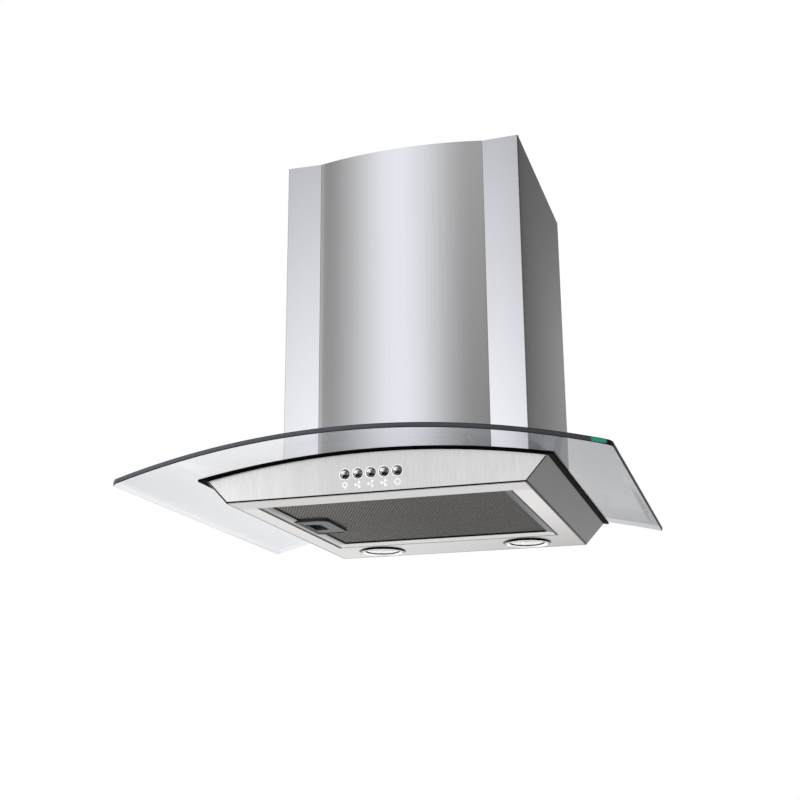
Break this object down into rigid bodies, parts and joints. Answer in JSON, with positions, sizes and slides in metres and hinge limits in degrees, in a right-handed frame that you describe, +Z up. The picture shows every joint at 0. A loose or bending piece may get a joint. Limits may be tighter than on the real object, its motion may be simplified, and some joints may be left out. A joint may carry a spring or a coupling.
{
  "type": "chimney cooker hood",
  "caption": "Wall-mounted chimney cooker hood with an arched glass canopy, push buttons, lamps, swing-down grease filter, centrifugal blower and telescopic flue cover.",
  "frame": {"origin": "middle of the four wall screw holes, on the wall's face", "axes": "+Z up, +Y into the wall, +X to the right as seen from the room"},
  "size_m": [0.6, 0.535, 0.519],
  "materials": {
    "brushed_steel_front": "fine vertical brush, pale satin",
    "satin_steel_body": "satin stainless sheet",
    "polished_steel": "mirror polished stainless",
    "satin_steel_chimney": "satin stainless sheet",
    "galvanised_sheet": "zinc coated sheet steel",
    "zinc_hardware": "bright zinc plated",
    "clear_glass": "clear toughened glass with polished edges",
    "black_rubber": "matt black rubber",
    "chrome_trim": "bright chrome",
    "frosted_glass": "frosted lamp glass",
    "filter_aluminium": "satin aluminium",
    "filter_mesh": "dark grease filter mesh",
    "dark_plastic": "grained dark grey moulding",
    "black_plastic": "black moulding",
    "white_plastic": "white moulding",
    "motor_paint": "dark grey stove enamel"
  },
  "bodies": {
    "hood": {"underside_panel": "satin_steel_body", "side_panel_left": "satin_steel_body", "side_panel_right": "satin_steel_body", "front_panel": "brushed_steel_front", "back_panel": "galvanised_sheet", "glass_carrier": "galvanised_sheet", "glass_seal": "black_rubber", "glass_canopy": "clear_glass", "glass_bushes": "black_rubber", "glass_bolts": "zinc_hardware", "hanger_plate": "galvanised_sheet", "blower_box": "galvanised_sheet", "box_top_plate": "galvanised_sheet", "pan_screws": "zinc_hardware", "scroll_wrap": "galvanised_sheet", "scroll_cheek_left": "galvanised_sheet", "scroll_cheek_right": "galvanised_sheet", "motor_body": "motor_paint", "motor_spider": "zinc_hardware", "motor_bushes": "black_rubber", "capacitor": "white_plastic", "capacitor_clamp": "zinc_hardware", "terminal_box": "black_plastic", "cable_gland": "black_plastic", "duct_collar": "dark_plastic", "flap_pin": "zinc_hardware", "chimney_front": "polished_steel", "chimney_left": "satin_steel_chimney", "chimney_right": "satin_steel_chimney", "chimney_clips": "zinc_hardware", "switch_block": "white_plastic", "switch_bracket": "galvanised_sheet", "lamp_ring_left": "chrome_trim", "lamp_ring_right": "chrome_trim", "lamp_lens_left": "frosted_glass", "lamp_lens_right": "frosted_glass", "lamp_can_left": "galvanised_sheet", "lamp_can_right": "galvanised_sheet", "lamp_bulbs": "frosted_glass"},
    "fan": {"fan_blades": "galvanised_sheet", "fan_rings": "galvanised_sheet", "fan_disc": "galvanised_sheet", "fan_shaft": "zinc_hardware", "fan_nut": "zinc_hardware"},
    "extension": {"chimney_extension": "satin_steel_chimney", "ceiling_bracket": "galvanised_sheet", "ceiling_screws": "zinc_hardware"},
    "filter": {"filter_frame": "filter_aluminium", "filter_net_lower": "filter_mesh", "filter_core": "filter_mesh", "filter_net_upper": "filter_mesh", "filter_pull": "dark_plastic"},
    "latch": {"latch_slide": "black_plastic"},
    "lamp_switch": {"lamp_button": "chrome_trim"},
    "low_switch": {"low_speed_button": "chrome_trim"},
    "middle_switch": {"middle_speed_button": "chrome_trim"},
    "high_switch": {"high_speed_button": "chrome_trim"},
    "stop_switch": {"stop_button": "chrome_trim"},
    "flap_front": {"damper_flap_front": "dark_plastic"},
    "flap_back": {"damper_flap_back": "dark_plastic"}
  },
  "joints": [
    {"name": "fan_spin", "type": "hinge", "parent": "hood", "child": "fan", "pos_m": [0, -0.108, -0.015], "axis": [1, 0, 0], "continuous": true},
    {"name": "extension_slide", "type": "slide", "parent": "hood", "child": "extension", "axis": [0, 0, 1], "range_m": [0, 0.25]},
    {"name": "filter_swing", "type": "hinge", "parent": "hood", "child": "filter", "pos_m": [0.1635, -0.246, -0.1996], "axis": [0, -1, 0], "range_deg": [0, 70]},
    {"name": "latch_pull", "type": "slide", "parent": "filter", "child": "latch", "axis": [1, 0, 0], "range_m": [0, 0.006], "stiffness_N_per_m": 400, "springref_m": -0.002},
    {"name": "lamp_press", "type": "slide", "parent": "hood", "child": "lamp_switch", "axis": [0, 0.9966, 0.0828], "range_m": [0, 0.003], "stiffness_N_per_m": 300, "springref_m": -0.002},
    {"name": "low_press", "type": "slide", "parent": "hood", "child": "low_switch", "axis": [0, 0.9966, 0.0828], "range_m": [0, 0.003], "stiffness_N_per_m": 300, "springref_m": -0.002},
    {"name": "middle_press", "type": "slide", "parent": "hood", "child": "middle_switch", "axis": [0, 0.9966, 0.0828], "range_m": [0, 0.003], "stiffness_N_per_m": 300, "springref_m": -0.002},
    {"name": "high_press", "type": "slide", "parent": "hood", "child": "high_switch", "axis": [0, 0.9966, 0.0828], "range_m": [0, 0.003], "stiffness_N_per_m": 300, "springref_m": -0.002},
    {"name": "stop_press", "type": "slide", "parent": "hood", "child": "stop_switch", "axis": [0, 0.9966, 0.0828], "range_m": [0, 0.003], "stiffness_N_per_m": 300, "springref_m": -0.002},
    {"name": "flap_front_swing", "type": "hinge", "parent": "hood", "child": "flap_front", "pos_m": [0, -0.178, 0.1302], "axis": [-1, 0, 0], "range_deg": [0, 72]},
    {"name": "flap_back_swing", "type": "hinge", "parent": "hood", "child": "flap_back", "pos_m": [0, -0.178, 0.1302], "axis": [1, 0, 0], "range_deg": [0, 72]}
  ]
}
